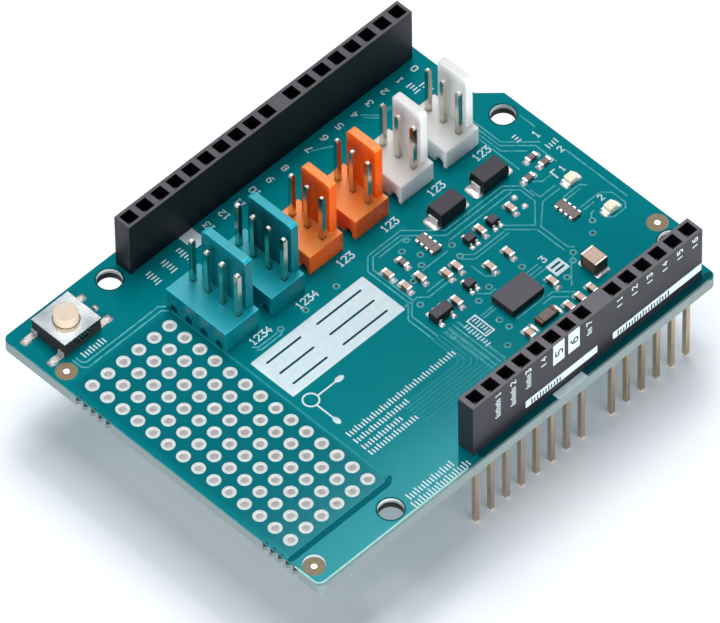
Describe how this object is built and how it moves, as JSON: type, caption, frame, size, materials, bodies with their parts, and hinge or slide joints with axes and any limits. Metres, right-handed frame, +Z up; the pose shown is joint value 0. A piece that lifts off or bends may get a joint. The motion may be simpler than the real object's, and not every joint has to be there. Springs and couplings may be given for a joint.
{
  "type": "motion sensor expansion board",
  "caption": "Stackable circuit board with socket headers on long pins, upright coloured pin connectors, a motion sensor chip, a reset push switch and a grid of plated holes.",
  "frame": {"origin": "below the middle of the board's outline, on the plane of the stacking pins' tips", "axes": "+X along the long edge from the prototyping grid towards the sensor side, +Y towards the digital header, +Z up out of the sockets"},
  "size_m": [0.0686, 0.0534, 0.0262],
  "materials": {
    "solder_mask": "glossy teal solder mask over glass epoxy",
    "tin": "bright tin and solder",
    "header_plastic": "fine matt black moulding",
    "contact_gold": "pale gold flash",
    "teal_nylon": "glossy moulding",
    "orange_nylon": "glossy moulding",
    "white_nylon": "glossy moulding",
    "pin_tin": "tin-plated brass",
    "switch_plastic": "matt black moulding",
    "cover_steel": "bright pressed steel",
    "dome_steel": "thin spring steel",
    "button_plastic": "cream moulding",
    "package_epoxy": "matt dark moulding compound",
    "tan_ceramic": "fired ceramic",
    "brown_ceramic": "fired ceramic",
    "resistor_glaze": "dark glaze on ceramic",
    "led_lens": "clear pale resin",
    "led_base": "white laminate"
  },
  "bodies": {
    "board": {"circuit_board": "solder_mask", "grid_pads": "tin", "digital_header_body": "header_plastic", "digital_header_contacts": "contact_gold", "power_header_body": "header_plastic", "power_header_contacts": "contact_gold", "bus_connector_1_housing": "teal_nylon", "bus_connector_1_pins": "pin_tin", "bus_connector_2_housing": "teal_nylon", "bus_connector_2_pins": "pin_tin", "output_connector_1_housing": "orange_nylon", "output_connector_1_pins": "pin_tin", "output_connector_2_housing": "orange_nylon", "output_connector_2_pins": "pin_tin", "input_connector_1_housing": "white_nylon", "input_connector_1_pins": "pin_tin", "input_connector_2_housing": "white_nylon", "input_connector_2_pins": "pin_tin", "reset_switch_base": "switch_plastic", "reset_switch_cover": "cover_steel", "reset_switch_dome": "dome_steel", "reset_switch_terminals": "tin", "sensor_chip": "package_epoxy", "diode_1_body": "package_epoxy", "diode_1_leads": "tin", "diode_2_body": "package_epoxy", "diode_2_leads": "tin", "led_1_base": "led_base", "led_1_lens": "led_lens", "led_1_terminals": "tin", "led_2_base": "led_base", "led_2_lens": "led_lens", "led_2_terminals": "tin", "bulk_capacitor_body": "tan_ceramic", "bulk_capacitor_ends": "tin", "filter_capacitor_body": "brown_ceramic", "filter_capacitor_ends": "tin", "regulator_body": "package_epoxy", "regulator_leads": "tin", "transistor_bodies": "package_epoxy", "transistor_leads": "tin", "resistor_array_1_body": "resistor_glaze", "resistor_array_1_ends": "tin", "resistor_array_2_body": "resistor_glaze", "resistor_array_2_ends": "tin", "chip_capacitor_bodies": "tan_ceramic", "chip_capacitor_ends": "tin", "chip_resistor_bodies": "resistor_glaze", "chip_resistor_ends": "tin", "test_points": "tin", "header_solder": "tin", "connector_solder": "tin"},
    "button": {"reset_button": "button_plastic"}
  },
  "joints": [
    {"name": "reset_press", "type": "slide", "parent": "board", "child": "button", "axis": [0, 0, -1], "range_m": [0, 0.00025], "stiffness_N_per_m": 4000, "springref_m": -0.00015, "deforming": ["reset_switch_dome"]}
  ]
}
